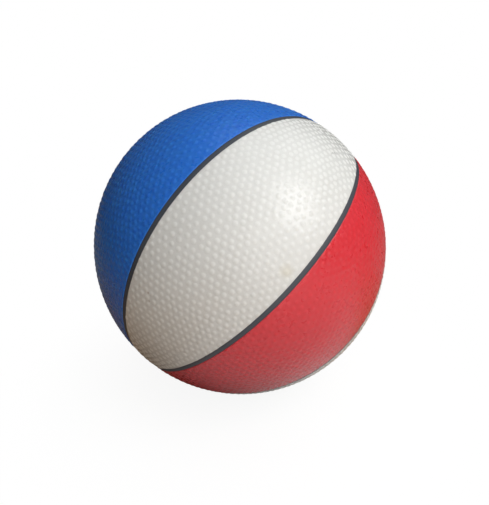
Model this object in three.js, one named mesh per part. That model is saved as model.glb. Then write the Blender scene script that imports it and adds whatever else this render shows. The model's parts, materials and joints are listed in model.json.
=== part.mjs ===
// Mini rubber basketball: eight moulded cover panels parted by black seam strips, over a rubber carcass,
// a thread winding and a butyl bladder, with a replaceable needle valve at one pole.
// Millimetres, +Z up. The origin is the centre of the ball, which lies as it was photographed.

import * as THREE from 'three';
import { mergeVertices } from 'three/addons/utils/BufferGeometryUtils.js';

// Ball
const OUTER_RADIUS = 89;
const PANEL_COUNT = 8;

// Layers, from the outside in
const PANEL_THICKNESS = 1.0;
const CARCASS_THICKNESS = 0.6;
const WINDING_THICKNESS = 0.5;
const BLADDER_THICKNESS = 0.6;
const LAYER_GAP = 0.3;

// Seams between the panels, which run together at a round button on each pole
const SEAM_WIDTH = 2.7;
const SEAM_RECESS = 0.35;
const SEAM_GAP = 0.3;
const BUTTON_RADIUS = 7.5;

// Needle valve
const PLUG_RADIUS = 3.6;
const PLUG_LENGTH = 16;
const PLUG_HEAD_RADIUS = 4.8;
const PLUG_HEAD_HEIGHT = 1.2;
const PLUG_CLEARANCE = 0.3;
const NEEDLE_HOLE_RADIUS = 0.9;
const NEEDLE_HOLE_DEPTH = 12;
const HOUSING_WALL = 2;
const HOUSING_FLOOR = 2.5;
const HOUSING_FLANGE_WIDTH = 5;
const HOUSING_FLANGE_THICKNESS = 1.5;
const AIR_HOLE_RADIUS = 1.2;

// How the ball lies: the valve pole leans from the vertical, towards a bearing from +X, and is spun about itself
const POLE_LEAN = THREE.MathUtils.degToRad(51.3);
const POLE_BEARING = THREE.MathUtils.degToRad(33.4);
const POLE_SPIN = THREE.MathUtils.degToRad(163.3);

// Facets of an inner shell, and how many of the cover's facets lie over each of them along and across
const SHELL_STEPS_ALONG = 12;
const SHELL_STEPS_PER_PANEL = 3;
const COVER_STEPS_PER_SHELL_STEP = 2;

// Radii of the layers
const panelInner = OUTER_RADIUS - PANEL_THICKNESS;
const seamOuter = OUTER_RADIUS - SEAM_RECESS;
const carcassOuter = panelInner - LAYER_GAP;
const carcassInner = carcassOuter - CARCASS_THICKNESS;
const windingOuter = carcassInner - LAYER_GAP;
const windingInner = windingOuter - WINDING_THICKNESS;
const bladderOuter = windingInner - LAYER_GAP;
const bladderInner = bladderOuter - BLADDER_THICKNESS;

// Valve heights along the pole, from the centre of the ball
const headTop = seamOuter;
const headBottom = headTop - PLUG_HEAD_HEIGHT;
const housingTop = headBottom - PLUG_CLEARANCE;
const plugBottom = headBottom - PLUG_LENGTH;
const boreBottom = plugBottom - PLUG_CLEARANCE;
const housingBottom = boreBottom - HOUSING_FLOOR;

// Valve radii about the pole
const boreRadius = PLUG_RADIUS + PLUG_CLEARANCE;
const neckRadius = boreRadius + HOUSING_WALL;
const openingRadius = neckRadius + LAYER_GAP;
const collarHoleRadius = PLUG_HEAD_RADIUS + PLUG_CLEARANCE;

// The cover's span of polar angle, which stops short of the button on each pole
const panelPitch = (2 * Math.PI) / PANEL_COUNT;
const coverStart = Math.asin((BUTTON_RADIUS + SEAM_GAP) / panelInner);
const coverEnd = Math.PI - coverStart;

const stepsAlong = SHELL_STEPS_ALONG * COVER_STEPS_PER_SHELL_STEP;
const stepsAcross = SHELL_STEPS_PER_PANEL * COVER_STEPS_PER_SHELL_STEP;
const shellSides = SHELL_STEPS_PER_PANEL * PANEL_COUNT;

function rubber(color, roughness) {
  return new THREE.MeshStandardMaterial({ color, roughness, metalness: 0 });
}

function piece(name, geometry, material) {
  geometry.deleteAttribute('normal');
  geometry.deleteAttribute('uv');
  const mesh = new THREE.Mesh(mergeVertices(geometry), material);
  mesh.name = name;
  return mesh;
}

// A closed slab bent onto the ball, from button to button. halfAngle(ring) gives the azimuth from the
// slab's middle to its edge, on a ring of the given radius about the pole.
function bentSlab(outer, inner, across, halfAngle) {
  const slab = new THREE.BoxGeometry(2, 1, 1, across, stepsAlong, 1);
  const position = slab.getAttribute('position');
  const point = new THREE.Vector3();
  for (let i = 0; i < position.count; i += 1) {
    point.fromBufferAttribute(position, i);
    const radius = point.z > 0 ? outer : inner;
    const polar = THREE.MathUtils.lerp(coverEnd, coverStart, point.y + 0.5);
    const ring = radius * Math.sin(polar);
    const azimuth = point.x * halfAngle(ring);
    position.setXYZ(i, ring * Math.cos(azimuth), ring * Math.sin(azimuth), radius * Math.cos(polar));
  }
  return slab;
}

// A turned solid about +Z. The profile holds [radius, height] pairs, upwards on its outer side.
function turned(profile) {
  const points = profile.map(([radius, height]) => new THREE.Vector2(radius, height));
  return new THREE.LatheGeometry(points, shellSides).rotateX(Math.PI / 2);
}

function onSphere(radius, polar) {
  return [radius * Math.sin(polar), radius * Math.cos(polar)];
}

function onSphereAtRing(radius, ring) {
  return onSphere(radius, Math.asin(ring / radius));
}

// Polar angle of a shell's ring, counted from the valve's end of the cover
function shellRing(step) {
  return THREE.MathUtils.lerp(coverStart, coverEnd, step / SHELL_STEPS_ALONG);
}

// A hollow sphere with a round opening for the valve's neck
function openShell(outer, inner) {
  const outside = [];
  const inside = [];
  for (let step = 0; step <= SHELL_STEPS_ALONG; step += 1) {
    outside.unshift(onSphere(outer, shellRing(step)));
    inside.push(onSphere(inner, shellRing(step)));
  }
  const rim = [onSphereAtRing(outer, openingRadius), onSphereAtRing(inner, openingRadius)];
  return turned([[0, -outer], ...outside, ...rim, ...inside, [0, -inner]]);
}

// A lune of the cover, whose edges keep half a seam and a gap from the planes of its two seams
function panelGeometry() {
  const edge = SEAM_WIDTH / 2 + SEAM_GAP;
  return bentSlab(OUTER_RADIUS, panelInner, stepsAcross, (ring) => panelPitch / 2 - Math.asin(edge / ring));
}

// A strip of even width that lies in the channel between two panels
function seamGeometry() {
  return bentSlab(seamOuter, panelInner, 1, (ring) => Math.asin(SEAM_WIDTH / 2 / ring));
}

// The cap on the far pole, where the eight seams run together
function poleButtonGeometry() {
  const under = onSphereAtRing(panelInner, BUTTON_RADIUS);
  const over = onSphereAtRing(seamOuter, BUTTON_RADIUS);
  return turned([[0, panelInner], under, over, [0, seamOuter]]).rotateX(Math.PI);
}

// The ring on the valve pole, where the seams run together round the plug's head
function valveCollarGeometry() {
  const start = onSphereAtRing(panelInner, collarHoleRadius);
  const under = onSphereAtRing(panelInner, BUTTON_RADIUS);
  const over = onSphereAtRing(seamOuter, BUTTON_RADIUS);
  return turned([start, under, over, onSphereAtRing(seamOuter, collarHoleRadius), start]);
}

// The tube that hangs in the bladder and grips the plug. Its flange lies against the bladder's first ring
// of facets from the inside, and a small hole in its floor lets the air through.
function valveHousingGeometry() {
  const flangeRadius = neckRadius + HOUSING_FLANGE_WIDTH;
  const seat = bladderInner - LAYER_GAP;
  const [upperRing, upperHeight] = onSphere(seat, shellRing(0));
  const [lowerRing, lowerHeight] = onSphere(seat, shellRing(1));
  const rimShare = (flangeRadius - upperRing) / (lowerRing - upperRing);
  const rimHeight = THREE.MathUtils.lerp(upperHeight, lowerHeight, rimShare);
  const start = [AIR_HOLE_RADIUS, housingBottom];
  return turned([
    start,
    [neckRadius, housingBottom],
    [neckRadius, rimHeight - HOUSING_FLANGE_THICKNESS],
    [flangeRadius, rimHeight - HOUSING_FLANGE_THICKNESS],
    [flangeRadius, rimHeight],
    [neckRadius, upperHeight],
    [neckRadius, housingTop],
    [boreRadius, housingTop],
    [boreRadius, boreBottom],
    [AIR_HOLE_RADIUS, boreBottom],
    start,
  ]);
}

// The soft insert that seals round an inflating needle, with its head flush with the seams
function valvePlugGeometry() {
  return turned([
    [0, plugBottom],
    [PLUG_RADIUS, plugBottom],
    [PLUG_RADIUS, headBottom],
    [PLUG_HEAD_RADIUS, headBottom],
    [PLUG_HEAD_RADIUS, headTop],
    [NEEDLE_HOLE_RADIUS, headTop],
    [NEEDLE_HOLE_RADIUS, headTop - NEEDLE_HOLE_DEPTH],
    [0, headTop - NEEDLE_HOLE_DEPTH],
  ]);
}

const panelColours = [
  { name: 'blue', color: 0x2f6cc4 },
  { name: 'white', color: 0xe4e3dc },
  { name: 'red', color: 0xd93a3d },
  { name: 'white', color: 0xe4e3dc },
];

const seamBlack = 0x3a3a3c;

// Everything about the pole axis, with the valve at +Z and the first seam at +X
function poleAssembly() {
  const assembly = new THREE.Group();
  assembly.add(
    piece('bladder', openShell(bladderOuter, bladderInner), rubber(0x1b1b1d, 0.6)),
    piece('thread_winding', openShell(windingOuter, windingInner), rubber(0xd8d2c0, 0.9)),
    piece('carcass', openShell(carcassOuter, carcassInner), rubber(0x2a2a2c, 0.7)),
    piece('valve_housing', valveHousingGeometry(), rubber(0x232325, 0.6)),
    piece('valve_plug', valvePlugGeometry(), rubber(0x2c2c2e, 0.5)),
    piece('valve_collar', valveCollarGeometry(), rubber(seamBlack, 0.5)),
    piece('pole_button', poleButtonGeometry(), rubber(seamBlack, 0.5)),
  );
  for (let i = 0; i < PANEL_COUNT; i += 1) {
    const { name, color } = panelColours[i % panelColours.length];
    const seam = piece(`seam_strip_${i + 1}`, seamGeometry(), rubber(seamBlack, 0.5));
    const panel = piece(`panel_${i + 1}_${name}`, panelGeometry(), rubber(color, 0.45));
    seam.rotation.z = i * panelPitch;
    panel.rotation.z = (i + 0.5) * panelPitch;
    assembly.add(seam, panel);
  }
  return assembly;
}

const spun = poleAssembly();
spun.rotation.z = POLE_SPIN;

const leaning = new THREE.Group();
leaning.rotation.y = POLE_LEAN;
leaning.add(spun);

const basketball = new THREE.Group();
basketball.rotation.z = POLE_BEARING;
basketball.add(leaning);

export default basketball;
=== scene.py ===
"""Mini rubber basketball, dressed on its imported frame.

Eight pebbled cover panels with dark seam strips between them, a button and a needle valve on the poles, and
the layers under the cover. Metres, in the frame's axes. A piece is modelled in the ball's own axes, with Z
along the pole that holds the valve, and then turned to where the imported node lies.
"""

import json
import logging
import math
import random
from dataclasses import dataclass
from enum import Enum

import bmesh
import bpy
from mathutils import Matrix, Vector
from mathutils.kdtree import KDTree


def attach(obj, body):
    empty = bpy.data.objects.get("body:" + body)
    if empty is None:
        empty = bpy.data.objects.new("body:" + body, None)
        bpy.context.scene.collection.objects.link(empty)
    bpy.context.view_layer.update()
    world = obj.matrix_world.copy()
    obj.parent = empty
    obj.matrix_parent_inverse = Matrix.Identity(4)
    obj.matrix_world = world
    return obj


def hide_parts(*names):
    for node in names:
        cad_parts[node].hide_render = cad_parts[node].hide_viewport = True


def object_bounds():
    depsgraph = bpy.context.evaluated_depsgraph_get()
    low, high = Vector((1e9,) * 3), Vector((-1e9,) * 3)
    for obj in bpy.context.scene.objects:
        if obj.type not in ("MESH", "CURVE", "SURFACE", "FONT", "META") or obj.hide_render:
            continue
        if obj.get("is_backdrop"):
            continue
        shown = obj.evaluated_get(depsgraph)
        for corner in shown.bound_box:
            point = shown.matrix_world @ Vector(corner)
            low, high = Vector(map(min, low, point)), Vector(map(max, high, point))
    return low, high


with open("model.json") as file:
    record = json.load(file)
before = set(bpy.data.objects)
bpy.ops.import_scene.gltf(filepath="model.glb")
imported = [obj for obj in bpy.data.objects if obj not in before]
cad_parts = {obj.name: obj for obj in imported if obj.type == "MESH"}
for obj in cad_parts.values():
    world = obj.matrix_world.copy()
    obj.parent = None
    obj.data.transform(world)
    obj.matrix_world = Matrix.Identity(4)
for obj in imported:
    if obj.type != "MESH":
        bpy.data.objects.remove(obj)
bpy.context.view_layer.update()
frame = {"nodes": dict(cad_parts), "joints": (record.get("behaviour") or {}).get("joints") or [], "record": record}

MM = 0.001
WELD = 0.001 * MM
ORIGIN = (0.0, 0.0, 0.0)
END_FOR_END = Matrix.Rotation(math.pi, 3, "X")
SHARP = math.radians(30)
# Decimals of a metre that tell the rings and heights of a turned node apart
DIGITS = 5
# The gap round a seam strip or a button, too fine to see
FIT = 0.03 * MM
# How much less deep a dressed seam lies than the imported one, as it shows at flat angles in the photograph
SEAM_LIFT = 0.12 * MM

RGB = XYZ = tuple[float, float, float]
Pair = tuple[float, float]
Mesh = bmesh.types.BMesh
Socket = bpy.types.NodeSocket
Outputs = bpy.types.NodeOutputs
Value = float | Socket
log = logging.getLogger("basketball")


@dataclass(frozen=True)
class CadNode:
    """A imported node, measured in the ball's own axes."""

    name: str

    def corners(self) -> list[Vector]:
        """The node's distinct corners, in the frame's axes."""
        vertices = frame["nodes"][self.name].data.vertices
        return [Vector(place) for place in dict.fromkeys(tuple(vertex.co) for vertex in vertices)]

    def axes(self) -> Matrix:
        """The ball's own axes, with X through the middle of the node."""
        across = valve_pole().cross(sum(self.corners(), Vector())).normalized()
        return Matrix((across.cross(valve_pole()), across, valve_pole())).transposed()

    def shell(self) -> Pair:
        """The least and the greatest distance of a corner from the ball's centre."""
        reach = [corner.length for corner in self.corners()]
        return min(reach), max(reach)

    def seam_shell(self) -> Pair:
        """The shell of a piece of the seams as it is dressed."""
        inner, outer = self.shell()
        return inner, outer + SEAM_LIFT

    def half_width(self) -> float:
        """Half the node's width square to the meridian through its middle."""
        across = self.axes().col[1]
        return max(corner.dot(across) for corner in self.corners())

    def radii(self) -> list[float]:
        """The distances from the pole's axis at which a turned node has corners, smallest first."""
        pole = valve_pole()
        return sorted({round(corner.cross(pole).length, DIGITS) for corner in self.corners()})

    def heights(self) -> list[float]:
        """The heights along the pole at which a turned node has corners, lowest first."""
        pole = valve_pole()
        return sorted({round(corner.dot(pole), DIGITS) for corner in self.corners()})

    def body(self) -> str:
        """The body that carries the node."""
        bodies = frame["record"]["behaviour"]["bodies"]
        return next(body for body, nodes in bodies.items() if self.name in nodes)

    def slot(self) -> str:
        """The record's material slot for the node."""
        subparts = frame["record"]["subparts"]
        return next(part["material_slot"] for part in subparts if part["node"] == self.name)


def valve_pole() -> Vector:
    """The direction of the pole that holds the valve, along which its plug is pulled."""
    return Vector(frame["joints"][0]["axis"]).normalized()


def ball_axes() -> Matrix:
    """The ball's own axes, with X through the middle of the first panel."""
    return CadNode("panel_1_blue").axes()


def named(prefix: str) -> list[CadNode]:
    """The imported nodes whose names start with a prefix, in order."""
    return [CadNode(name) for name in sorted(frame["nodes"]) if name.startswith(prefix)]


def face_out(bm: Mesh) -> None:
    """Points the faces of a mesh outwards."""
    bmesh.ops.recalc_face_normals(bm, faces=bm.faces[:])


def cast(verts: list[bmesh.types.BMVert], radius: float) -> None:
    """Moves vertices straight out or in, onto a sphere about the ball's centre."""
    for vert in verts:
        vert.co = vert.co.normalized() * radius


def slice_mesh(bm: Mesh, place: Vector, normal: Vector, trim: bool) -> None:
    """Cuts a mesh along the plane through a place, and may trim off what lies on the normal's side."""
    parts = [*bm.verts, *bm.edges, *bm.faces]
    bmesh.ops.bisect_plane(bm, geom=parts, dist=WELD, plane_co=place, plane_no=normal, clear_outer=trim)


def turn(profile: list[Pair], steps: int, closed: bool = False) -> Mesh:
    """Turns an outline about the pole.

    Args:
        profile: (radius, height) pairs.
        steps: how many facets go round.
        closed: whether the outline's end joins its start, away from the axis.

    Returns:
        A closed mesh with its faces pointing out.
    """
    bm = bmesh.new()
    verts = [bm.verts.new((radius, 0, height)) for radius, height in profile]
    ends = verts[1:] + verts[:1] if closed else verts[1:]
    edges = [bm.edges.new(pair) for pair in zip(verts, ends)]
    bmesh.ops.spin(
        bm, geom=verts + edges, cent=ORIGIN, axis=(0, 0, 1), dvec=ORIGIN, angle=math.tau, steps=steps,
        use_merge=True, use_duplicate=False,
    )
    bmesh.ops.remove_doubles(bm, verts=bm.verts[:], dist=WELD)
    face_out(bm)
    return bm


def round_rims(bm: Mesh, radius: float, segments: int = 3) -> None:
    """Rounds every sharp edge of a mesh, so far from the edge and with so many facets across."""
    rims = [edge for edge in bm.edges if edge.calc_face_angle(0.0) > SHARP]
    bmesh.ops.bevel(
        bm, geom=rims, offset=radius, offset_type="OFFSET", segments=segments, profile=0.5, affect="EDGES",
        material=-1, clamp_overlap=True,
    )


def on_sphere(radius: float, ring: float) -> Pair:
    """The (radius, height) pair of a sphere's ring about the pole."""
    return ring, math.sqrt(radius * radius - ring * ring)


class NodeBench:
    """Places nodes in one node tree and wires them up."""

    def __init__(self, tree: bpy.types.NodeTree) -> None:
        """Takes the tree and clears it."""
        self.tree = tree
        tree.nodes.clear()

    def add(self, kind: str, inputs: dict | None = None, **settings: object) -> bpy.types.Node:
        """Adds a node.

        Args:
            kind: the node's type.
            inputs: values or sockets to link, by the input's name or number.
            settings: the node's own settings.

        Returns:
            The new node.
        """
        node = self.tree.nodes.new(kind)
        for name, value in settings.items():
            setattr(node, name, value)
        for key, value in (inputs or {}).items():
            if isinstance(value, Socket):
                self.tree.links.new(value, node.inputs[key])
            else:
                node.inputs[key].default_value = value
        return node

    def math(self, operation: str, *terms: Value) -> Socket:
        """Adds a Math node with its terms in order, and gives its output."""
        return self.add("ShaderNodeMath", dict(enumerate(terms)), operation=operation).outputs[0]

    def rise(self, value: Value, low: Value, high: Value, to: Pair = (0.0, 1.0)) -> Socket:
        """Maps a value smoothly from the span low to high onto another span."""
        inputs = dict(enumerate((value, low, high, *to)))
        return self.add("ShaderNodeMapRange", inputs, interpolation_type="SMOOTHSTEP").outputs[0]

    def tint(self, share: Value, first: object, second: object, mode: str = "MIX") -> Socket:
        """Mixes a share of the second colour into the first."""
        # The node's colours are its inputs 6 and 7 and its output 2
        inputs = {0: share, 6: first, 7: second}
        return self.add("ShaderNodeMix", inputs, data_type="RGBA", blend_type=mode).outputs[2]

    def grey(self, level: Socket) -> Socket:
        """A grey of the given level, as a colour."""
        return self.add("ShaderNodeCombineColor", {0: level, 1: level, 2: level}).outputs[0]

    def object_place(self) -> Socket:
        """The place on the object, in metres."""
        return self.add("ShaderNodeTexCoord").outputs["Object"]

    def along(self, axis: str) -> Socket:
        """The place on the object along one of its axes."""
        return self.add("ShaderNodeSeparateXYZ", {0: self.object_place()}).outputs[axis]

    def distance(self, place: XYZ | Socket) -> Socket:
        """How far the object's points lie from a place."""
        ends = {0: self.object_place(), 1: place}
        return self.add("ShaderNodeVectorMath", ends, operation="DISTANCE").outputs["Value"]

    def pebble(self) -> Socket:
        """How far up a pebble the place lies, from 0 at its foot to 1 on its top."""
        return self.add("ShaderNodeAttribute", attribute_name=CoverPanels.HEIGHT_LAYER).outputs["Fac"]

    def noise(self, scale: Value, detail: float = 2.0, roughness: float = 0.5) -> Socket:
        """A noise over the object's own place, whose values lie about 0.5."""
        inputs = {"Vector": self.object_place(), "Scale": scale, "Detail": detail, "Roughness": roughness}
        return self.add("ShaderNodeTexNoise", inputs).outputs[0]


# What a group's socket carries, in Blender's words
NUMBER, COLOUR, PLACE = "NodeSocketFloat", "NodeSocketColor", "NodeSocketVector"


class SharedEffect:
    """A shader node group with one output, which several finishes place with their own values."""

    name: str
    takes: dict[str, str]
    gives: tuple[str, str]

    def wire(self, bench: NodeBench, given: Outputs) -> Socket:
        """Makes the effect's nodes from what it is given, and gives its output."""
        raise NotImplementedError

    def group(self) -> bpy.types.NodeTree:
        """The effect as a node group.

        Returns:
            The group, which is built on first use.
        """
        made = bpy.data.node_groups.get(self.name)
        if made:
            return made
        made = bpy.data.node_groups.new(self.name, "ShaderNodeTree")
        for name, kind in self.takes.items():
            made.interface.new_socket(name=name, in_out="INPUT", socket_type=kind)
        name, kind = self.gives
        made.interface.new_socket(name=name, in_out="OUTPUT", socket_type=kind)
        bench = NodeBench(made)
        bench.add("NodeGroupOutput", {name: self.wire(bench, bench.add("NodeGroupInput").outputs)})
        return made

    def place(self, bench: NodeBench, **inputs: object) -> Socket:
        """Puts the effect in a material and gives its output."""
        return bench.add("ShaderNodeGroup", inputs, node_tree=self.group()).outputs[0]


class MouldedGrain(SharedEffect):
    """The fine skin that rubber takes from its mould."""

    SWELL_SCALE = 0.16
    SWELL_SHARE = 0.6

    name = "moulded_grain"
    takes = {"Scale": NUMBER}
    gives = ("Height", NUMBER)

    def wire(self, bench: NodeBench, given: Outputs) -> Socket:
        """A fine grain with a slower swell under it."""
        slow = bench.noise(bench.math("MULTIPLY", given["Scale"], self.SWELL_SCALE))
        return bench.math(
            "MULTIPLY_ADD", slow, self.SWELL_SHARE, bench.noise(given["Scale"], detail=3.0, roughness=0.6)
        )


class HandledAndShadedTone(SharedEffect):
    """Colour as a used rubber skin shows it: uneven, paler on the pebbles, and darker between them with dirt and
    painted shade.
    """

    HOLLOW_BAND = (0.0, 0.6)
    PATCH_SCALE = 38.0
    PATCH_BAND = (0.4, 0.68)
    PATCH_SHARE = 0.8
    SPECK_SCALE = 420.0
    SPECK_BAND = (0.66, 0.74)
    SPECK_SHARE = 0.12
    DRIFT_SCALE = 17.0

    name = "handled_and_shaded_tone"
    takes = {"Colour": COLOUR, "Grime": COLOUR, "Amount": NUMBER, "Mottle": NUMBER}
    gives = ("Colour", COLOUR)

    def wire(self, bench: NodeBench, given: Outputs) -> Socket:
        """Dirt and painted shade lie between the pebbles in patches, and the whole colour drifts a little.

        Args:
            bench: where the nodes go.
            given: the effect's inputs.

        Returns:
            The effect's output.
        """
        # Painted shade: the colour darkens in the hollows between the pebbles, as well as with the dirt that
        # gathers there
        hollow_shade = bench.rise(bench.pebble(), *self.HOLLOW_BAND, (1.0, 0.0))
        patches = bench.rise(bench.noise(self.PATCH_SCALE, detail=4.0, roughness=0.6), *self.PATCH_BAND)
        specks = bench.rise(bench.noise(self.SPECK_SCALE), *self.SPECK_BAND)
        patchy = bench.math("MULTIPLY_ADD", patches, self.PATCH_SHARE, 1 - self.PATCH_SHARE)
        lying = bench.math("MULTIPLY_ADD", specks, self.SPECK_SHARE, bench.math("MULTIPLY", hollow_shade, patchy))
        dirt_and_shade = bench.math("MULTIPLY", lying, given["Amount"])
        dirty_and_shaded = bench.tint(dirt_and_shade, given["Colour"], given["Grime"])
        drift = bench.math("SUBTRACT", bench.noise(self.DRIFT_SCALE, detail=3.0), 0.5)
        level = bench.math("MULTIPLY_ADD", drift, given["Mottle"], 1.0)
        return bench.tint(1.0, dirty_and_shaded, bench.grey(level), "MULTIPLY")


class LocalMark(SharedEffect):
    """A soft mark with an uneven rim about one place of the skin."""

    RIM_SCALE = 380.0

    name = "local_mark"
    takes = {"Colour": COLOUR, "Tint": COLOUR, "Place": PLACE, "Reach": NUMBER, "Amount": NUMBER}
    gives = ("Colour", COLOUR)

    def wire(self, bench: NodeBench, given: Outputs) -> Socket:
        """The tint fades with the distance from the place, which a noise makes uneven.

        Args:
            bench: where the nodes go.
            given: the effect's inputs.

        Returns:
            The effect's output.
        """
        uneven = bench.math("ADD", bench.noise(self.RIM_SCALE), 0.5)
        distance = bench.math("MULTIPLY", bench.distance(given["Place"]), uneven)
        cover = bench.rise(distance, given["Reach"], 0.0)
        share = bench.math("MULTIPLY", cover, given["Amount"])
        return bench.tint(share, given["Colour"], given["Tint"])


class UnevenGloss(SharedEffect):
    """Roughness that drifts over a skin, with a finer cloudiness, and is greater on rubbed pebbles."""

    DRIFT_SCALE = 26.0
    CLOUD_SCALE = 310.0
    RUBBED_BAND = (0.05, 0.6)

    name = "uneven_gloss"
    takes = {"Roughness": NUMBER, "Spread": NUMBER, "Wear": NUMBER}
    gives = ("Roughness", NUMBER)

    def wire(self, bench: NodeBench, given: Outputs) -> Socket:
        """Two noises about the given roughness, and the wear of the pebbles on top.

        Args:
            bench: where the nodes go.
            given: the effect's inputs.

        Returns:
            The effect's output.
        """
        cloudy = bench.math("ADD", bench.noise(self.DRIFT_SCALE, detail=3.0), bench.noise(self.CLOUD_SCALE))
        drift = bench.math("SUBTRACT", cloudy, 1.0)
        uneven = bench.math("MULTIPLY_ADD", drift, given["Spread"], given["Roughness"])
        rubbed = bench.rise(bench.pebble(), *self.RUBBED_BAND)
        return bench.math("MULTIPLY_ADD", rubbed, given["Wear"], uneven)


@dataclass(frozen=True)
class Mark:
    """A small stain, speck or scuff on the skin.

    Attributes:
        place: its place in the frame.
        tint: its colour, linear.
        reach: how far it reaches from its place.
        amount: how much of the skin's colour it covers.
    """

    place: XYZ
    tint: RGB
    reach: float
    amount: float

    def over(self, bench: NodeBench, colour: Socket) -> Socket:
        """Lays the mark over a colour and gives the marked colour."""
        return LocalMark().place(
            bench, Colour=colour, Tint=(*self.tint, 1.0), Place=self.place, Reach=self.reach,
            Amount=self.amount,
        )


class Finish:
    """What a piece is dressed in."""

    name: str

    def skin(self, bench: NodeBench) -> dict[str, object]:
        """Makes the nodes that feed the finish's shader, and gives the shader's inputs by name."""
        raise NotImplementedError

    def material(self) -> bpy.types.Material:
        """The finish as a material.

        Returns:
            The material, which is built on first use.
        """
        made = bpy.data.materials.get(self.name)
        if made:
            return made
        made = bpy.data.materials.new(self.name)
        made.use_nodes = True
        bench = NodeBench(made.node_tree)
        skin = bench.add("ShaderNodeBsdfPrincipled", self.skin(bench))
        bench.add("ShaderNodeOutputMaterial", {"Surface": skin.outputs[0]})
        return made


@dataclass(frozen=True)
class RubberFinish(Finish):
    """A moulded rubber skin.

    Attributes:
        name: the material's name.
        colour: its base colour, linear.
        dirt_and_shade: the colour of the dirt and the painted shade between the pebbles, linear.
        dirt_and_shade_amount: how much of it there is.
        mottle: how far the colour drifts.
        roughness: the mean roughness.
        gloss_spread: how far the roughness drifts.
        specular: the level of the mirror reflection.
        wear: how much rougher the tops of the pebbles are.
        scatter: the share of the light that spreads under the skin.
        scatter_reach: how far it spreads.
        grain_scale: waves of the fine grain in a metre.
        grain_depth: the depth of the fine grain.
        marks: small marks on the skin.
    """

    name: str
    colour: RGB
    dirt_and_shade: RGB
    dirt_and_shade_amount: float
    mottle: float
    roughness: float
    gloss_spread: float
    specular: float
    wear: float = 0.0
    scatter: float = 0.0
    scatter_reach: float = 1.6 * MM
    grain_scale: float = 2600.0
    grain_depth: float = 0.008 * MM
    marks: tuple[Mark, ...] = ()

    def skin(self, bench: NodeBench) -> dict[str, object]:
        """The uneven colour with painted shade between the pebbles, and the gloss and grain of used rubber.

        Args:
            bench: where the nodes go.

        Returns:
            The shader's inputs by name.
        """
        colour = HandledAndShadedTone().place(
            bench, Colour=(*self.colour, 1.0), Grime=(*self.dirt_and_shade, 1.0), Amount=self.dirt_and_shade_amount,
            Mottle=self.mottle,
        )
        for mark in self.marks:
            colour = mark.over(bench, colour)
        roughness = UnevenGloss().place(
            bench, Roughness=self.roughness, Spread=self.gloss_spread, Wear=self.wear
        )
        grain = MouldedGrain().place(bench, Scale=self.grain_scale)
        bump = bench.add("ShaderNodeBump", {"Distance": self.grain_depth, "Height": grain})
        return {
            "Base Color": colour, "Roughness": roughness, "Specular IOR Level": self.specular,
            "Subsurface Weight": self.scatter, "Subsurface Radius": (1.0, 1.0, 1.0),
            "Subsurface Scale": self.scatter_reach, "Normal": bump.outputs[0],
        }


@dataclass(frozen=True)
class ThreadFinish(Finish):
    """Thread wound over the bladder in many directions.

    Attributes:
        name: the material's name.
        colour: the thread's colour, linear.
        shade: the colour between the threads, linear.
        pitch: the distance from thread to thread.
        depth: how far the threads stand out.
        waver: how far a thread strays from its line.
        lays: the turns of the thread's directions, in radians.
        roughness: the thread's roughness.
        specular: the level of its mirror reflection.
    """

    name: str
    colour: RGB
    shade: RGB
    pitch: float = 0.7 * MM
    depth: float = 0.12 * MM
    waver: float = 1.5
    lays: tuple[XYZ, ...] = ((0.3, 0.1, 0.0), (1.2, 0.7, 0.4), (0.5, 1.4, 1.1))
    roughness: float = 0.9
    specular: float = 0.2

    def skin(self, bench: NodeBench) -> dict[str, object]:
        """Threads that run in three directions, dark between them.

        Args:
            bench: where the nodes go.

        Returns:
            The shader's inputs by name.
        """
        height = 0.0
        for lay in self.lays:
            turned = bench.add("ShaderNodeMapping", {"Vector": bench.object_place(), "Rotation": lay})
            wave = bench.add("ShaderNodeTexWave", {
                "Vector": turned.outputs[0], "Scale": 1 / (self.pitch * math.tau), "Distortion": self.waver,
            })
            height = bench.math("MAXIMUM", height, wave.outputs["Fac"])
        colour = bench.tint(height, (*self.shade, 1.0), (*self.colour, 1.0))
        bump = bench.add("ShaderNodeBump", {"Distance": self.depth, "Height": height})
        return {
            "Base Color": colour, "Roughness": self.roughness, "Specular IOR Level": self.specular,
            "Normal": bump.outputs[0],
        }


STAIN = (0.60, 0.54, 0.36)
SPECK = (0.25, 0.14, 0.06)
SCUFF = (0.22, 0.22, 0.21)
WHITE_MARKS = (
    Mark((0.0289, -0.0802, 0.0255), STAIN, 5.0 * MM, 0.30),
    Mark((0.0174, -0.0872, 0.0045), STAIN, 4.5 * MM, 0.22),
    Mark((-0.0375, -0.0796, 0.0134), SPECK, 0.8 * MM, 0.55),
    Mark((-0.0375, -0.0802, 0.0093), SPECK, 0.7 * MM, 0.45),
    Mark((-0.0346, -0.0813, -0.0101), SPECK, 0.7 * MM, 0.45),
    Mark((0.0506, -0.0292, 0.0672), SCUFF, 0.7 * MM, 0.45),
    Mark((0.0516, -0.0277, 0.0670), SCUFF, 0.7 * MM, 0.60),
    Mark((0.0528, -0.0262, 0.0667), SCUFF, 0.8 * MM, 0.60),
    Mark((0.0539, -0.0247, 0.0663), SCUFF, 0.7 * MM, 0.45),
)

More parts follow.
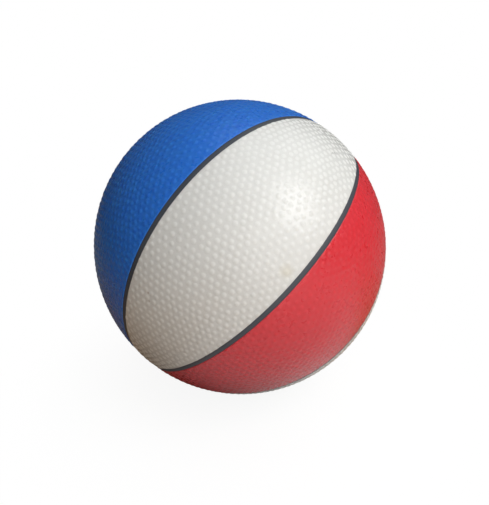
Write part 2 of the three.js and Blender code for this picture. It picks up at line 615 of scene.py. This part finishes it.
# The finishes by the record's material slots
FINISHES: dict[str, Finish] = {
    "panel_blue": RubberFinish(
        "panel_blue_rubber", colour=(0.029, 0.184, 0.68), dirt_and_shade=(0.02, 0.09, 0.32), dirt_and_shade_amount=0.12,
        mottle=0.10, roughness=0.28, gloss_spread=0.08, specular=0.30, wear=0.10, scatter=0.8,
    ),
    "panel_white": RubberFinish(
        "panel_white_rubber", colour=(0.776, 0.790, 0.770), dirt_and_shade=(0.52, 0.50, 0.45), dirt_and_shade_amount=0.10,
        mottle=0.04, roughness=0.22, gloss_spread=0.05, specular=0.5, wear=0.40, scatter=1.0,
        marks=WHITE_MARKS,
    ),
    "panel_red": RubberFinish(
        "panel_red_rubber", colour=(0.705, 0.042, 0.057), dirt_and_shade=(0.46, 0.03, 0.03), dirt_and_shade_amount=0.08,
        mottle=0.08, roughness=0.28, gloss_spread=0.08, specular=0.42, wear=0.10, scatter=0.8,
    ),
    "seam_rubber": RubberFinish(
        "seam_strip_rubber", colour=(0.054, 0.062, 0.078), dirt_and_shade=(0.10, 0.10, 0.10), dirt_and_shade_amount=0.35,
        mottle=0.25, roughness=0.48, gloss_spread=0.12, specular=0.35,
    ),
    "valve_rubber": RubberFinish(
        "valve_insert_rubber", colour=(0.032, 0.032, 0.034), dirt_and_shade=(0.09, 0.085, 0.08), dirt_and_shade_amount=0.3,
        mottle=0.2, roughness=0.42, gloss_spread=0.12, specular=0.5,
    ),
    "carcass_rubber": RubberFinish(
        "carcass_layer_rubber", colour=(0.025, 0.025, 0.026), dirt_and_shade=(0.06, 0.058, 0.055), dirt_and_shade_amount=0.4,
        mottle=0.3, roughness=0.6, gloss_spread=0.12, specular=0.4,
    ),
    "winding_thread": ThreadFinish(
        "winding_layer_thread", colour=(0.68, 0.64, 0.52), shade=(0.30, 0.27, 0.20),
    ),
    "bladder_rubber": RubberFinish(
        "bladder_layer_rubber", colour=(0.015, 0.015, 0.016), dirt_and_shade=(0.12, 0.118, 0.112), dirt_and_shade_amount=0.45,
        mottle=0.3, roughness=0.5, gloss_spread=0.15, specular=0.5,
    ),
}


def make_piece(bm: Mesh, name: str, node: CadNode, axes: Matrix) -> None:
    """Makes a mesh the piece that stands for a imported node.

    Args:
        bm: the mesh, in the ball's own axes.
        name: the piece's name.
        node: the node that it stands for, which says what it rides on and is dressed in.
        axes: the ball's own axes as they lie in the frame.
    """
    mesh = bpy.data.meshes.new(name)
    for face in bm.faces:
        face.smooth = True
    bm.to_mesh(mesh)
    mesh.transform(axes.to_4x4())
    mesh.materials.append(FINISHES[node.slot()].material())
    piece = bpy.data.objects.new(name, mesh)
    bpy.context.scene.collection.objects.link(piece)
    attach(piece, node.body())
    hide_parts(node.name)
    log.info("%s: %d faces, rides on %s", name, len(mesh.polygons), node.body())


@dataclass
class CoverPanels:
    """The eight lunes of the moulded cover, with their pebbles.

    Attributes:
        splits: how an icosahedron's edges are split, step by step, down to the pebbles' pitch.
        lattice_turn: the icosahedron's turn about the pole, which lays the middle of an edge on X.
        fine_cuts: cuts of each edge between two pebbles' centres.
        pebble_radius: the radius of a pebble's foot.
        pebble_height: how far a pebble stands out.
        pebble_swell: the power of the pebble's profile, 2 for a round top and 1 for a cone.
        pebble_spread: how far a pebble's size differs from the mean, as a share.
        wander: how far a pebble lies from its place, as a share of the pitch.
        land: the smooth band beside a seam.
        shoulder_width: how far the rounded edge beside a seam reaches into the panel.
        shoulder_depth: how far the rounded edge drops.
        shoulder_loops: where edge loops lie across the rounding, as shares of its width.
        seed: the start of the random draws.
    """

    HEIGHT_LAYER = "pebble_height"

    splits: tuple[int, ...] = (2, 2, 7)
    lattice_turn: float = math.radians(-18)
    fine_cuts: int = 7
    pebble_radius: float = 1.37 * MM
    pebble_height: float = 0.21 * MM
    pebble_swell: float = 1.8
    pebble_spread: float = 0.08
    wander: float = 0.06
    land: float = 0.5 * MM
    shoulder_width: float = 0.45 * MM
    shoulder_depth: float = 0.18 * MM
    shoulder_loops: tuple[float, ...] = (0.15, 0.45, 1.0)
    seed: int = 23

    def __post_init__(self) -> None:
        """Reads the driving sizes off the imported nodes."""
        self.nodes = named("panel_")
        self.inner, self.outer = self.nodes[0].shell()
        self.half_angle = math.pi / len(self.nodes)
        self.edge = CadNode("seam_strip_1").half_width() + FIT
        self.end_ring = CadNode("pole_button").radii()[-1] + FIT
        self.random = random.Random(self.seed)

    def side_normals(self) -> list[Vector]:
        """The outward normals of the two seam planes beside a panel whose middle lies on X."""
        sine, cosine = math.sin(self.half_angle), math.cos(self.half_angle)
        return [Vector((-sine, side * cosine, 0)) for side in (1, -1)]

    def edge_distance(self, place: Vector) -> float:
        """How far a point of the panel lies from the nearest edge."""
        sides = [-normal.dot(place) - self.edge for normal in self.side_normals()]
        return min(*sides, math.hypot(place.x, place.y) - self.end_ring)

    def lattice(self) -> Mesh:
        """Lays out the pebbles, each a little off its place.

        Returns:
            A sphere of triangles whose corners are the pebbles' centres.
        """
        bm = bmesh.new()
        bmesh.ops.create_icosphere(bm, subdivisions=1, radius=self.outer)
        bmesh.ops.rotate(
            bm, verts=bm.verts[:], cent=ORIGIN, matrix=Matrix.Rotation(self.lattice_turn, 3, "Z")
        )
        for split in self.splits:
            bmesh.ops.subdivide_edges(bm, edges=bm.edges[:], cuts=split - 1, use_grid_fill=True)
            cast(bm.verts[:], self.outer)
        reach = self.wander * sum(edge.calc_length() for edge in bm.edges) / len(bm.edges)
        for vert in bm.verts:
            vert.co += Vector([self.random.gauss(0, reach) for _ in range(3)])
        cast(bm.verts[:], self.outer)
        return bm

    def pebble_centres(self, bm: Mesh) -> KDTree:
        """Picks the pebbles that a panel holds, and draws their sizes.

        Args:
            bm: the sphere with all pebbles' centres.

        Returns:
            Their centres, found by place.
        """
        inside = [vert.co.copy() for vert in bm.verts if self.edge_distance(vert.co) > self.land]
        tree = KDTree(len(inside))
        for index, centre in enumerate(inside):
            tree.insert(centre, index)
        tree.balance()
        self.sizes = [1 + self.random.uniform(-1, 1) * self.pebble_spread for _ in inside]
        return tree

    def cut(self, bm: Mesh, inset: float, trim: bool) -> None:
        """Cuts a mesh along the two sides and the two ends of a panel.

        Args:
            bm: the mesh.
            inset: how far inside the panel's edges the cuts lie.
            trim: whether what lies outside the cuts goes.
        """
        for normal in self.side_normals():
            slice_mesh(bm, -(self.edge + inset) * normal, normal, trim)
        height = on_sphere(self.outer, self.end_ring + inset)[1]
        for end in (1, -1):
            slice_mesh(bm, Vector((0, 0, end * height)), Vector((0, 0, end)), trim)

    def thicken(self, bm: Mesh) -> None:
        """Gives the panel its wall, with a plain inner side."""
        made = bmesh.ops.extrude_face_region(bm, geom=bm.faces[:], use_keep_orig=True)
        cast([part for part in made["geom"] if isinstance(part, bmesh.types.BMVert)], self.inner)

    def is_outside(self, vert: bmesh.types.BMVert) -> bool:
        """Whether a vertex lies on the panel's outer side."""
        return vert.co.length > (self.inner + self.outer) / 2

    def refine(self, bm: Mesh) -> None:
        """Splits the outer side finely enough for the pebbles and for the rounded edges.

        Args:
            bm: the panel with its wall.
        """
        edges = [edge for edge in bm.edges if all(self.is_outside(vert) for vert in edge.verts)]
        bmesh.ops.subdivide_edges(bm, edges=edges, cuts=self.fine_cuts, use_grid_fill=True)
        for share in self.shoulder_loops:
            self.cut(bm, share * self.shoulder_width, trim=False)

    def raise_pebbles(self, bm: Mesh, centres: KDTree) -> None:
        """Domes the pebbles and rounds the edges, and keeps each vertex's share of a pebble in a layer.

        Args:
            bm: the panel, with its outer side on the sphere.
            centres: the pebbles' centres.
        """
        layer = bm.verts.layers.float.new(self.HEIGHT_LAYER)
        land_radius = self.outer - self.pebble_height / 2
        for vert in filter(self.is_outside, bm.verts[:]):
            place = vert.co.normalized() * self.outer
            _, index, distance = centres.find(place)
            foot = min(distance / (self.pebble_radius * self.sizes[index]), 1.0)
            dome = 1 - foot**self.pebble_swell
            edge = min(max(self.edge_distance(place) / self.shoulder_width, 0.0), 1.0)
            drop = 1 - math.sqrt(1 - (1 - edge) ** 2)
            rise = self.pebble_height * self.sizes[index] * dome - self.shoulder_depth * drop
            vert[layer] = dome
            vert.co = place.normalized() * (land_radius + rise)

    def master(self) -> Mesh:
        """Models one panel.

        Returns:
            The panel in the ball's own axes, with its middle on X.
        """
        bm = self.lattice()
        centres = self.pebble_centres(bm)
        self.cut(bm, inset=0.0, trim=True)
        bmesh.ops.triangulate(bm, faces=bm.faces[:])
        cast(bm.verts[:], self.outer)
        self.thicken(bm)
        face_out(bm)
        self.refine(bm)
        self.raise_pebbles(bm, centres)
        face_out(bm)
        return bm

    def build(self) -> None:
        """Makes all panels from the one master, every other one turned end for end."""
        bm = self.master()
        for index, node in enumerate(self.nodes):
            axes = node.axes() @ END_FOR_END if index % 2 else node.axes()
            make_piece(bm, f"cover_{node.name}", node, axes)
        bm.free()


@dataclass
class SeamStrips:
    """The dark strips in the channels between the panels.

    Attributes:
        crown: how far the middle of a strip stands above its edges.
        rim: the rounding of its long edges.
        rim_facets: facets across the rounding.
        steps: facets along a strip.
    """

    crown: float = 0.05 * MM
    rim: float = 0.12 * MM
    rim_facets: int = 2
    steps: int = 144

    def master(self) -> Mesh:
        """Models one strip.

        Returns:
            The strip in the ball's own axes, with its middle on X.
        """
        strip = CadNode("seam_strip_1")
        inner, outer = strip.seam_shell()
        half = strip.half_width()
        start = math.asin((CadNode("pole_button").radii()[-1] + FIT) / inner)
        edge = outer - self.crown
        section = [(half, inner), (half, edge), (0, outer), (-half, edge), (-half, inner)]
        bm = bmesh.new()
        verts = [bm.verts.new((0, across, height)) for across, height in section]
        edges = [bm.edges.new(pair) for pair in zip(verts, verts[1:] + verts[:1])]
        bmesh.ops.rotate(bm, verts=verts, cent=ORIGIN, matrix=Matrix.Rotation(start, 3, "Y"))
        bmesh.ops.spin(
            bm, geom=verts + edges, cent=ORIGIN, axis=(0, 1, 0), dvec=ORIGIN, angle=math.pi - 2 * start,
            steps=self.steps, use_duplicate=False,
        )
        bmesh.ops.holes_fill(bm, edges=[edge for edge in bm.edges if edge.is_boundary], sides=0)
        face_out(bm)
        round_rims(bm, self.rim, self.rim_facets)
        return bm

    def build(self) -> None:
        """Makes all strips from the one master."""
        bm = self.master()
        for node in named("seam_strip_"):
            make_piece(bm, f"line_{node.name}", node, node.axes())
        bm.free()


@dataclass
class PoleButton:
    """The dark cap on the far pole, where the seams run together.

    Attributes:
        rim: the rounding of its edge.
        dimple_radius: the radius of the moulding mark in its middle.
        dimple_depth: how deep the mark is.
        groove_ring: the radius of a shallow groove round the mark.
        groove_width: the groove's width.
        groove_depth: the groove's depth.
        steps: facets round it.
        node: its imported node.
    """

    rim: float = 0.25 * MM
    dimple_radius: float = 1.2 * MM
    dimple_depth: float = 0.25 * MM
    groove_ring: float = 5.6 * MM
    groove_width: float = 0.7 * MM
    groove_depth: float = 0.2 * MM
    steps: int = 72
    node: CadNode = CadNode("pole_button")

    def build(self) -> None:
        """Turns the cap and puts it on the pole away from the valve."""
        inner, outer = self.node.seam_shell()
        radius = self.node.radii()[-1]
        groove_in = self.groove_ring - self.groove_width / 2
        groove_out = self.groove_ring + self.groove_width / 2
        dimple = outer - self.dimple_depth
        rings = [
            (inner, 0), (inner, radius / 2), (inner, radius), (outer, radius), (outer, groove_out),
            (outer - self.groove_depth, self.groove_ring), (outer, groove_in),
            (outer, (groove_in + self.dimple_radius) / 2), (outer, self.dimple_radius),
            (dimple, self.dimple_radius / 2), (dimple, 0),
        ]
        bm = turn([on_sphere(*ring) for ring in rings], self.steps)
        round_rims(bm, self.rim)
        make_piece(bm, "cap_pole_button", self.node, ball_axes() @ END_FOR_END)
        bm.free()


@dataclass
class NeedleValve:
    """The collar, the plug that takes the pump's needle, and the tube that grips the plug.

    Attributes:
        rim: the rounding of edges.
        lead_radius: the radius of the funnel that leads the needle in.
        lead_depth: the funnel's depth.
        nose: the length of the plug's tapered tip.
        rib_count: grip ribs round the plug.
        rib_height: how far a rib stands out, less than the plug's clearance.
        rib_width: a rib's width at its foot.
        steps: facets round each piece.
        collar: the collar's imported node.
        plug: the plug's.
        housing: the tube's.
    """

    rim: float = 0.2 * MM
    lead_radius: float = 1.9 * MM
    lead_depth: float = 0.8 * MM
    nose: float = 1.6 * MM
    rib_count: int = 4
    rib_height: float = 0.18 * MM
    rib_width: float = 1.0 * MM
    steps: int = 72
    collar: CadNode = CadNode("valve_collar")
    plug: CadNode = CadNode("valve_plug")
    housing: CadNode = CadNode("valve_housing")

    def build_collar(self) -> None:
        """The ring round the plug's head, where the seams run together."""
        inner, outer = self.collar.seam_shell()
        hole, radius = self.collar.radii()[0], self.collar.radii()[-1]
        middle = (hole + radius) / 2
        under = [on_sphere(inner, ring) for ring in (hole, middle, radius)]
        over = [on_sphere(outer, ring) for ring in (radius, middle, hole)]
        bm = turn(under + over, self.steps, closed=True)
        round_rims(bm, self.rim)
        make_piece(bm, "ring_valve_collar", self.collar, ball_axes())
        bm.free()

    def plug_profile(self) -> list[Pair]:
        """Draws the plug's outline, up its outside and down the needle's hole.

        Returns:
            The outline's (radius, height) pairs.
        """
        _, hole, shank, head = self.plug.radii()
        tip, hole_floor, neck, top = self.plug.heights()
        profile = [(0, tip), (shank - self.nose / 2, tip), (shank, tip + self.nose)]
        pitch = (neck - tip - self.nose) / (self.rib_count + 1)
        for rib in range(1, self.rib_count + 1):
            height = tip + self.nose + rib * pitch
            profile += [
                (shank, height - self.rib_width / 2),
                (shank + self.rib_height, height),
                (shank, height + self.rib_width / 2),
            ]
        profile += [(shank, neck), (head, neck), (head, top), (self.lead_radius, top)]
        profile += [(hole, top - self.lead_depth), (hole, hole_floor), (0, hole_floor)]
        return profile

    def build_plug(self) -> None:
        """The soft insert, whose flat head is flush with the seams."""
        bm = turn(self.plug_profile(), self.steps)
        round_rims(bm, self.rim)
        make_piece(bm, "insert_valve_plug", self.plug, ball_axes())
        bm.free()

    def build_housing(self) -> None:
        """The tube that hangs in the bladder, with a flange under the bladder's wall."""
        air, bore, neck, flange = self.housing.radii()
        bottom, bore_floor, flange_low, flange_high, seat, top = self.housing.heights()
        profile = [
            (air, bottom), (neck, bottom), (neck, flange_low), (flange, flange_low), (flange, flange_high),
            (neck, seat), (neck, top), (bore, top), (bore, bore_floor), (air, bore_floor),
        ]
        bm = turn(profile, self.steps, closed=True)
        round_rims(bm, self.rim)
        make_piece(bm, "tube_valve_housing", self.housing, ball_axes())
        bm.free()

    def build(self) -> None:
        """Makes the valve's three pieces."""
        self.build_collar()
        self.build_plug()
        self.build_housing()


@dataclass
class InnerLayers:
    """The carcass, the thread winding and the bladder, each a thin ball with an opening for the valve.

    Attributes:
        steps: facets round a layer.
    """

    steps: int = 144

    def build(self) -> None:
        """Makes the three layers, from the outside in."""
        for name in ("carcass", "thread_winding", "bladder"):
            inner, outer = CadNode(name).shell()
            opening = CadNode("valve_housing").radii()[2] + (outer - inner) / 2
            bm = bmesh.new()
            bmesh.ops.create_uvsphere(bm, u_segments=self.steps, v_segments=self.steps // 2, radius=outer)
            slice_mesh(bm, Vector((0, 0, on_sphere(outer, opening)[1])), Vector((0, 0, 1)), trim=True)
            face_out(bm)
            bmesh.ops.solidify(bm, geom=bm.faces[:], thickness=outer - inner)
            make_piece(bm, f"layer_{name}", CadNode(name), ball_axes())
            bm.free()


class LampFace(Enum):
    """The outline of a soft lamp, with Blender's word for it."""

    SQUARE = "SQUARE"
    ROUND = "DISK"

    def area(self, size: float) -> float:
        """The face's area, from the length of its side or its diameter."""
        return size * size * (math.pi / 4 if self is LampFace.ROUND else 1.0)


@dataclass(frozen=True)
class SoftBox:
    """A soft light that faces the ball.

    Attributes:
        name: the lamp's name.
        towards: the direction from the ball to the lamp.
        size: the length of its side, or its diameter.
        brightness: the light that its face gives off, where 1 is white.
        distance: how far away it stands.
        face: the outline of its face.
        colour: the light's colour.
        in_gloss: whether a gloss shows the lamp.
    """

    name: str
    towards: XYZ
    size: float
    brightness: float
    distance: float = 0.90
    face: LampFace = LampFace.SQUARE
    colour: RGB = (1.0, 1.0, 1.0)
    in_gloss: bool = True

    def build(self) -> None:
        """Adds the lamp."""
        lamp = bpy.data.lights.new(self.name, "AREA")
        lamp.shape = self.face.value
        lamp.size = self.size
        lamp.energy = self.brightness * math.pi * self.face.area(self.size)
        lamp.color = self.colour
        box = bpy.data.objects.new(self.name, lamp)
        box.location = Vector(self.towards).normalized() * self.distance
        box.rotation_euler = Vector(self.towards).to_track_quat("Z", "Y").to_euler()
        box.visible_glossy = self.in_gloss
        bpy.context.scene.collection.objects.link(box)
        log.info("lamp %s", self.name)


@dataclass
class Studio:
    """A pale floor, soft lamps, a dim surround that shows white to the camera, and the camera.

    Attributes:
        lamps: the soft lamps.
        floor_radius: how far the floor reaches.
        floor_steps: facets round it.
        floor_bounce: its colour for the light that it throws back, linear.
        floor_back: that colour behind the ball.
        back_reach: where, along Y, the one turns into the other.
        floor_painted_shadow: that colour at the ball's foot, a painted shadow in the light that the floor throws
            back.
        painted_shadow_place: the middle of that painted shadow, on the floor.
        painted_shadow_reach: where, from its middle, it turns into the lit floor.
        shadow_depth: the share of the floor's white that the ball's shadow can take, for the camera.
        shadow_reach: where, from the ball's foot, that share fades out.
        shadow_gain: how much paler than white the lit floor is, so that only the shadow shows.
        surround_low: the surround's light from below, linear.
        surround_high: its light from above, linear.
        surround_reach: where, by height, the one turns into the other.
        gloss_shadow_place: the middle of a painted shadow on the floor, where the ball's gloss doesn't show its
            white.
        gloss_shadow_reach: where, from its middle, the gloss comes to show it.
        gloss_front: where, along Y, it does, so that the floor's white shows in the gloss as a painted reflection
            in front.
        gloss_right: where, along X, it does, so that the painted reflection shows only on the right.
        surround_gloss: how much of the surround's white the gloss shows.
        image_height: the photograph's height in pixels.
        focal_pixels: the focal length in those pixels.
        lens_centre: the lens's axis in the photograph, in pixels right of its middle and below it.
        camera_place: the camera's place, in radii of the ball.
        camera_turn: its turns about X, Y and Z from looking straight down, in degrees.
    """

    lamps: tuple[SoftBox, ...] = (
        SoftBox(
            "key_softbox", (0.607, -0.362, 0.708), size=0.47, brightness=5.10, distance=0.85,
            face=LampFace.ROUND,
        ),
        SoftBox("wide_softbox", (0.55, -0.45, 0.70), size=1.10, brightness=0.24),
        SoftBox("top_softbox", (0.31, 0.05, 0.95), size=1.00, brightness=0.78),
        SoftBox("front_softbox", (0.44, -0.82, 0.34), size=0.80, brightness=1.42),
        SoftBox("brow_softbox", (0.10, -0.78, 0.62), size=0.70, brightness=0.68, colour=(1.0, 0.98, 0.95)),
        SoftBox(
            "back_softbox", (-0.25, 0.95, 0.16), size=0.60, brightness=5.00, distance=1.20,
            in_gloss=False,
        ),
    )
    floor_radius: float = 3.0
    floor_steps: int = 96
    floor_bounce: RGB = (0.44, 0.265, 0.14)
    floor_back: RGB = (0.36, 0.34, 0.31)
    back_reach: Pair = (0.0, 0.15)
    floor_painted_shadow: RGB = (0.06, 0.05, 0.04)
    painted_shadow_place: XYZ = (0.0, -0.08, 0.0)
    painted_shadow_reach: Pair = (0.03, 0.18)
    shadow_depth: float = 0.10
    shadow_reach: Pair = (0.05, 0.18)
    shadow_gain: float = 1.3
    surround_low: RGB = (0.02, 0.018, 0.016)
    surround_high: RGB = (0.05, 0.047, 0.04)
    surround_reach: Pair = (-0.6, 0.9)
    gloss_shadow_place: XYZ = (-0.04, -0.02, 0.0)
    gloss_shadow_reach: Pair = (0.02, 0.12)
    gloss_front: Pair = (0.02, -0.06)
    gloss_right: Pair = (-0.10, -0.03)
    surround_gloss: float = 0.02
    image_height: float = 505.0
    focal_pixels: float = 450.0
    lens_centre: Pair = (30.5, 65.5)
    camera_place: XYZ = (0.3462, -3.0097, 1.2771)
    camera_turn: XYZ = (58.89, 0.66, 1.94)

    def seen_share(self, bench: NodeBench, gloss: Value) -> Socket:
        """How far a ray sees the white of the ground, which is fully from the camera or through glass.

        Args:
            bench: where the nodes go.
            gloss: the share that a gloss shows.

        Returns:
            The share, from 0 to 1.
        """
        path = bench.add("ShaderNodeLightPath").outputs
        straight = bench.math("ADD", path["Is Camera Ray"], path["Is Transmission Ray"])
        share = bench.math("MULTIPLY_ADD", path["Is Glossy Ray"], gloss, straight)
        return bench.math("MINIMUM", share, 1.0)

    def build_floor(self) -> None:
        """The floor, white to the camera but for the ball's soft shadow."""
        bm = bmesh.new()
        bmesh.ops.create_circle(bm, cap_ends=True, segments=self.floor_steps, radius=self.floor_radius)
        mesh = bpy.data.meshes.new("studio_floor")
        bm.to_mesh(mesh)
        bm.free()
        mesh.materials.append(self.floor_material())
        floor = bpy.data.objects.new("studio_floor", mesh)
        floor.location.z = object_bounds()[0].z
        bpy.context.scene.collection.objects.link(floor)
        floor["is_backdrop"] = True
        log.info("studio_floor")

    def seen_ground(self, bench: NodeBench) -> Socket:
        """The floor as the camera sees it, white with the ball's soft shadow.

        Args:
            bench: where the nodes go.

        Returns:
            The floor's shader for that.
        """
        shade = bench.rise(bench.distance(ORIGIN), *self.shadow_reach, (self.shadow_depth, 0.0))
        paleness = bench.math("MULTIPLY", shade, self.shadow_gain)
        lit = bench.add("ShaderNodeBsdfDiffuse", {"Color": bench.grey(paleness)})
        glow = bench.add("ShaderNodeEmission", {"Strength": bench.math("SUBTRACT", 1.0, shade)})
        return bench.add("ShaderNodeAddShader", {0: lit.outputs[0], 1: glow.outputs[0]}).outputs[0]

    def bounced_light(self, bench: NodeBench) -> Socket:
        """The floor as it lights the ball, warm in front, plainer behind, with a painted shadow at the ball's
        foot.

        Args:
            bench: where the nodes go.

        Returns:
            The floor's shader for that.
        """
        behind = bench.rise(bench.along("Y"), *self.back_reach)
        lit_floor = bench.tint(behind, (*self.floor_bounce, 1.0), (*self.floor_back, 1.0))
        # Painted shadow: the bounce colour darkens round a place near the ball's foot
        beyond_painted_shadow = bench.rise(bench.distance(self.painted_shadow_place), *self.painted_shadow_reach)
        colour = bench.tint(beyond_painted_shadow, (*self.floor_painted_shadow, 1.0), lit_floor)
        return bench.add("ShaderNodeBsdfDiffuse", {"Color": colour}).outputs[0]

    def painted_reflection_share(self, bench: NodeBench) -> Socket:
        """How far the ball's gloss shows the white of the floor: a painted reflection in front and on the right,
        with a painted shadow near the ball's foot.

        Args:
            bench: where the nodes go.

        Returns:
            The share, from 0 to 1.
        """
        # Painted reflection and shadow: the floor's white shows in the gloss only in front and on the right, and
        # not round the ball's foot
        clear = bench.rise(bench.distance(self.gloss_shadow_place), *self.gloss_shadow_reach)
        front = bench.rise(bench.along("Y"), *self.gloss_front)
        right = bench.rise(bench.along("X"), *self.gloss_right)
        return bench.math("MULTIPLY", clear, bench.math("MULTIPLY", front, right))

    def floor_material(self) -> bpy.types.Material:
        """Makes the floor's material.

        Returns:
            The material, which isn't sampled as a lamp.
        """
        made = bpy.data.materials.new("studio_floor")
        made.use_nodes = True
        made.cycles.emission_sampling = "NONE"
        bench = NodeBench(made.node_tree)
        mixed = bench.add("ShaderNodeMixShader", {
            0: self.seen_share(bench, self.painted_reflection_share(bench)),
            1: self.bounced_light(bench),
            2: self.seen_ground(bench),
        })
        bench.add("ShaderNodeOutputMaterial", {"Surface": mixed.outputs[0]})
        return made

    def build_surround(self) -> None:
        """The world: dim and warm below, brighter above, and white to the camera."""
        world = bpy.data.worlds.new("studio_surround")
        world.use_nodes = True
        bench = NodeBench(world.node_tree)
        direction = bench.add("ShaderNodeTexCoord").outputs["Generated"]
        height = bench.add("ShaderNodeSeparateXYZ", {0: direction}).outputs["Z"]
        above = bench.rise(height, *self.surround_reach)
        colour = bench.tint(above, (*self.surround_low, 1.0), (*self.surround_high, 1.0))
        dim = bench.add("ShaderNodeBackground", {"Color": colour})
        white = bench.add("ShaderNodeBackground", {"Color": (1.0, 1.0, 1.0, 1.0)})
        mixed = bench.add("ShaderNodeMixShader", {
            0: self.seen_share(bench, self.surround_gloss), 1: dim.outputs[0], 2: white.outputs[0],
        })
        bench.add("ShaderNodeOutputWorld", {"Surface": mixed.outputs[0]})
        bpy.context.scene.world = world
        log.info("studio_surround")

    def build_camera(self) -> None:
        """The camera as the photograph was taken, from close by and above."""
        lens = bpy.data.cameras.new("photo_camera")
        lens.lens = lens.sensor_width * self.focal_pixels / self.image_height
        right, down = self.lens_centre
        lens.shift_x = -right / self.image_height
        lens.shift_y = down / self.image_height
        camera = bpy.data.objects.new("photo_camera", lens)
        camera.location = Vector(self.camera_place) * CadNode("panel_1_blue").shell()[1]
        camera.rotation_euler = [math.radians(angle) for angle in self.camera_turn]
        bpy.context.scene.collection.objects.link(camera)
        bpy.context.scene.camera = camera
        log.info("photo_camera")

    def build(self) -> None:
        """Sets up the floor, the lamps, the surround and the camera."""
        self.build_floor()
        for lamp in self.lamps:
            lamp.build()
        self.build_surround()
        self.build_camera()
        bpy.context.scene.view_settings.view_transform = "Standard"


def main() -> None:
    """Builds the ball from the outside in, then the studio round it."""
    logging.basicConfig(level=logging.INFO, format="%(message)s")
    for part in (CoverPanels(), SeamStrips(), PoleButton(), NeedleValve(), InnerLayers(), Studio()):
        part.build()


if __name__ == "__main__":
    main()
